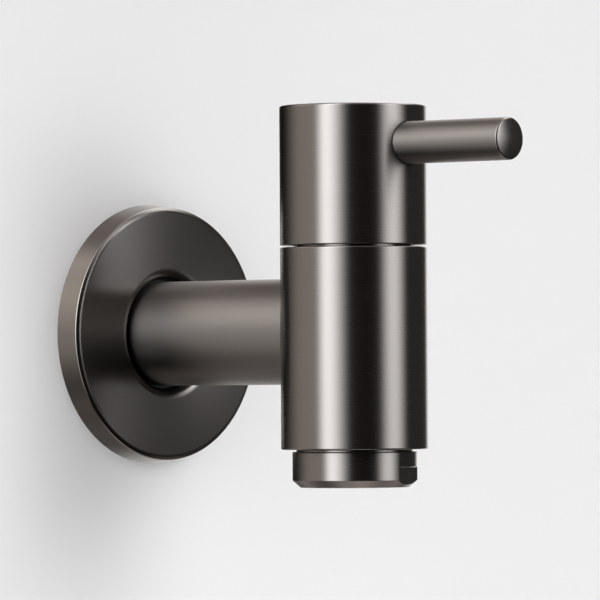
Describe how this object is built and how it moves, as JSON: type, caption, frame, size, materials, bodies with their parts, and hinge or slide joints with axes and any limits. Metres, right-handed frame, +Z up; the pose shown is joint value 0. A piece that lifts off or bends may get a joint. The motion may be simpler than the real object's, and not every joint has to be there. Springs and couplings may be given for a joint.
{
  "type": "wall-mounted sink faucet",
  "caption": "Wall-mounted faucet with an upright round body, a side lever on a quarter-turn cap, a round inlet shank with a wall flange, and an aerator below.",
  "frame": {"origin": "centre of the inlet on the finished wall, at the escutcheon's back face", "axes": "+Y into the wall along the inlet, +Z up along the body's axis, -Y out of the wall towards the user"},
  "size_m": [0.06, 0.125, 0.0858],
  "materials": {
    "gunmetal": "satin-brushed stainless steel with a dark gunmetal coating",
    "valve_brass": "machined, uncoated",
    "ceramic": "lapped white alumina",
    "stainless": "bright stainless steel",
    "black_rubber": "moulded nitrile rubber",
    "white_plastic": "moulded acetal",
    "grey_plastic": "moulded acetal"
  },
  "bodies": {
    "column": {"faucet_body": "gunmetal", "inlet_shank": "gunmetal", "cartridge_housing": "valve_brass", "housing_o_ring": "black_rubber", "seat_seal": "black_rubber", "stator_disc": "ceramic", "slip_washer": "white_plastic", "aerator_housing": "gunmetal", "aerator_washer": "black_rubber", "aerator_core": "grey_plastic", "aerator_strainer": "white_plastic", "aerator_screen_upper": "stainless", "aerator_screen_lower": "stainless", "aerator_grid": "grey_plastic"},
    "handle": {"handle_shell": "gunmetal", "lever_rod": "gunmetal", "handle_set_screw": "stainless", "spindle": "valve_brass", "spindle_o_ring_lower": "black_rubber", "spindle_o_ring_upper": "black_rubber", "stop_ring": "valve_brass", "spindle_circlip": "stainless", "rotor_disc": "ceramic"},
    "wall_flange": {"escutcheon": "gunmetal", "escutcheon_grip_ring": "black_rubber"}
  },
  "joints": [
    {"name": "handle_turn", "type": "hinge", "parent": "column", "child": "handle", "pos_m": [0, -0.065, 0], "axis": [0, 0, 1], "range_deg": [-3, 87]},
    {"name": "escutcheon_slide", "type": "slide", "parent": "column", "child": "wall_flange", "axis": [0, -1, 0], "range_m": [0, 0.0395]}
  ]
}
